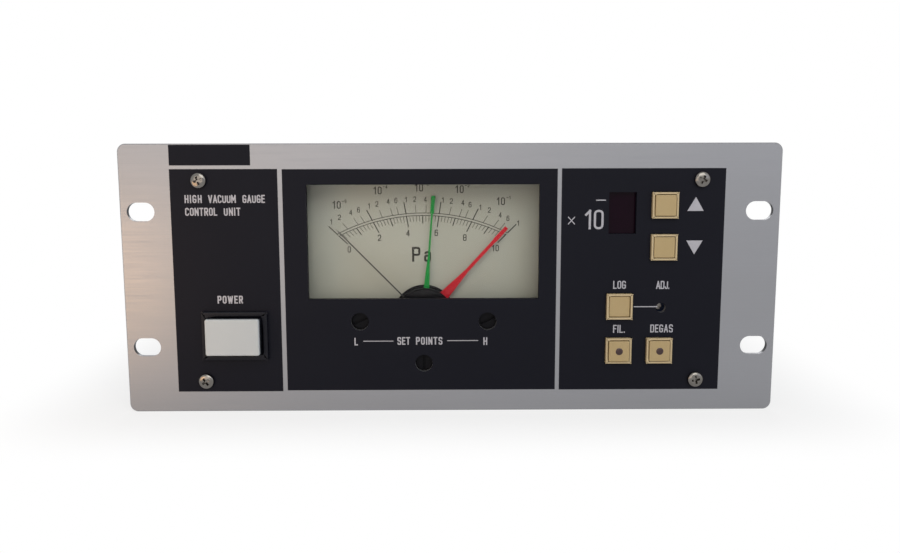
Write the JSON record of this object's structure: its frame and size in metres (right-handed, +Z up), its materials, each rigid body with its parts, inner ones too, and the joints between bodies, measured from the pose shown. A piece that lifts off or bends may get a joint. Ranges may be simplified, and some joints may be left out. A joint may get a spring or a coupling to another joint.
{
  "type": "vacuum gauge controller",
  "caption": "Half-rack vacuum gauge controller: meter with two set-point hands, push switches, exponent display, and a sheet-metal case with rear sockets.",
  "frame": {"origin": "middle of the four rack slots, on the rear face of the front panel", "axes": "+X to the right as seen from the front, +Y to the rear, +Z up"},
  "size_m": [0.24, 0.2738, 0.099],
  "materials": {
    "panel_aluminium": "satin anodised, with black printed fields",
    "plated_steel": "zinc plated",
    "case_paint": "grey textured enamel",
    "rear_aluminium": "satin",
    "nickel": "nickel plated",
    "black_moulding": "fine moulded",
    "clear_glass": "polished",
    "dial_sheet": "matt pale enamel",
    "pointer_black": "matt black",
    "low_hand_green": "satin green",
    "high_hand_red": "satin red",
    "brass": "turned",
    "cast_alloy": "die cast",
    "magnet_steel": "ground",
    "copper_coil": "enamelled wire",
    "key_beige": "moulded beige",
    "lens_white": "moulded white",
    "red_filter": "transparent dark red",
    "lamp_red": "diffused red, unlit",
    "display_grey": "grey face with pale segments",
    "trimmer_blue": "moulded blue",
    "circuit_board": "glass-epoxy laminate with green resist",
    "core_steel": "varnished laminations",
    "winding_tape": "yellow tape over the winding",
    "capacitor_sleeve": "dark blue sleeve",
    "relay_case": "amber moulding",
    "connector_shell": "nickel plated shell"
  },
  "bodies": {
    "chassis": {"board_spacers": "nickel", "bottom_cover": "case_paint", "collector_jack": "nickel", "degas_switch": "key_beige", "display_filter": "red_filter", "down_switch": "key_beige", "earth_screw": "nickel", "electrometer_shield": "plated_steel", "exponent_display": "display_grey", "filament_switch": "key_beige", "filter_capacitors": "capacitor_sleeve", "front_board": "circuit_board", "front_panel": "panel_aluminium", "fuse_holder": "black_moulding", "gauge_connector": "connector_shell", "log_switch": "key_beige", "magnet_core": "magnet_steel", "magnet_ring": "magnet_steel", "main_board": "circuit_board", "mains_inlet": "black_moulding", "meter_case": "black_moulding", "meter_front": "black_moulding", "meter_glass": "clear_glass", "movement_frame": "cast_alloy", "panel_screws": "nickel", "pivot_cover": "black_moulding", "power_switch": "black_moulding", "rear_panel": "rear_aluminium", "remote_connector": "plated_steel", "scale_plate": "dial_sheet", "set_point_relays": "relay_case", "side_plate_left": "case_paint", "side_plate_right": "case_paint", "sub_panel": "plated_steel", "top_cover": "case_paint", "transformer_core": "core_steel", "transformer_winding": "winding_tape", "trimmer_body": "trimmer_blue", "up_switch": "key_beige"},
    "power_key": {"power_button": "black_moulding", "power_lens": "lens_white"},
    "up_key": {"up_button": "key_beige"},
    "down_key": {"down_button": "key_beige"},
    "log_key": {"log_button": "key_beige"},
    "filament_key": {"filament_button": "key_beige", "filament_lamp": "lamp_red"},
    "degas_key": {"degas_button": "key_beige", "degas_lamp": "lamp_red"},
    "meter_movement": {"pointer": "pointer_black", "moving_coil": "copper_coil"},
    "low_set": {"low_set_hand": "low_hand_green", "low_set_gear": "brass"},
    "high_set": {"high_set_hand": "high_hand_red", "high_set_gear": "brass"},
    "low_shaft": {"low_adjuster": "black_moulding"},
    "high_shaft": {"high_adjuster": "black_moulding"},
    "zero_shaft": {"zero_adjuster": "black_moulding"},
    "trimmer_rotor": {"trimmer_screw": "brass"},
    "fuse_carrier": {"fuse_cap": "black_moulding"}
  },
  "joints": [
    {"name": "power_press", "type": "slide", "parent": "chassis", "child": "power_key", "axis": [0, 1, 0], "range_m": [0, 0.003], "stiffness_N_per_m": 900},
    {"name": "up_press", "type": "slide", "parent": "chassis", "child": "up_key", "axis": [0, 1, 0], "range_m": [0, 0.0018], "stiffness_N_per_m": 800},
    {"name": "down_press", "type": "slide", "parent": "chassis", "child": "down_key", "axis": [0, 1, 0], "range_m": [0, 0.0018], "stiffness_N_per_m": 800},
    {"name": "log_press", "type": "slide", "parent": "chassis", "child": "log_key", "axis": [0, 1, 0], "range_m": [-0.0013, 0.0007]},
    {"name": "filament_press", "type": "slide", "parent": "chassis", "child": "filament_key", "axis": [0, 1, 0], "range_m": [0, 0.002], "stiffness_N_per_m": 800},
    {"name": "degas_press", "type": "slide", "parent": "chassis", "child": "degas_key", "axis": [0, 1, 0], "range_m": [0, 0.002], "stiffness_N_per_m": 800},
    {"name": "pointer_swing", "type": "hinge", "parent": "chassis", "child": "meter_movement", "pos_m": [-0.01015, 0.0065, -0.01565], "axis": [0, 1, 0], "range_deg": [-2.5, 92], "stiffness_Nm_per_rad": 0.0003},
    {"name": "low_set_swing", "type": "hinge", "parent": "chassis", "child": "low_set", "pos_m": [-0.01015, 0.013, -0.01565], "axis": [0, 1, 0], "range_deg": [-49.5, 40.5]},
    {"name": "high_set_swing", "type": "hinge", "parent": "chassis", "child": "high_set", "pos_m": [-0.01015, 0.013, -0.01565], "axis": [0, 1, 0], "range_deg": [-87.5, 2.5]},
    {"name": "low_adjust_turn", "type": "hinge", "parent": "chassis", "child": "low_shaft", "pos_m": [-0.03375, 0.01, -0.01565], "axis": [0, 1, 0], "range_deg": [-112, 137]},
    {"name": "high_adjust_turn", "type": "hinge", "parent": "chassis", "child": "high_shaft", "pos_m": [0.01345, 0.01, -0.01565], "axis": [0, 1, 0], "range_deg": [-10, 239]},
    {"name": "zero_adjust_turn", "type": "hinge", "parent": "chassis", "child": "zero_shaft", "pos_m": [-0.01015, 0.005, -0.0314], "axis": [0, 1, 0], "continuous": true},
    {"name": "trimmer_turn", "type": "hinge", "parent": "chassis", "child": "trimmer_rotor", "pos_m": [0.0775, 0.004, -0.0108], "axis": [0, 1, 0], "range_deg": [-130, 130]},
    {"name": "fuse_cap_turn", "type": "hinge", "parent": "chassis", "child": "fuse_carrier", "pos_m": [-0.074, 0.25, 0.018], "axis": [0, 1, 0], "range_deg": [0, 90]}
  ],
  "couplings": [
    {"joint": "low_adjust_turn", "follows": "low_set_swing", "ratio": -2.6875},
    {"joint": "high_adjust_turn", "follows": "high_set_swing", "ratio": -2.6875}
  ]
}
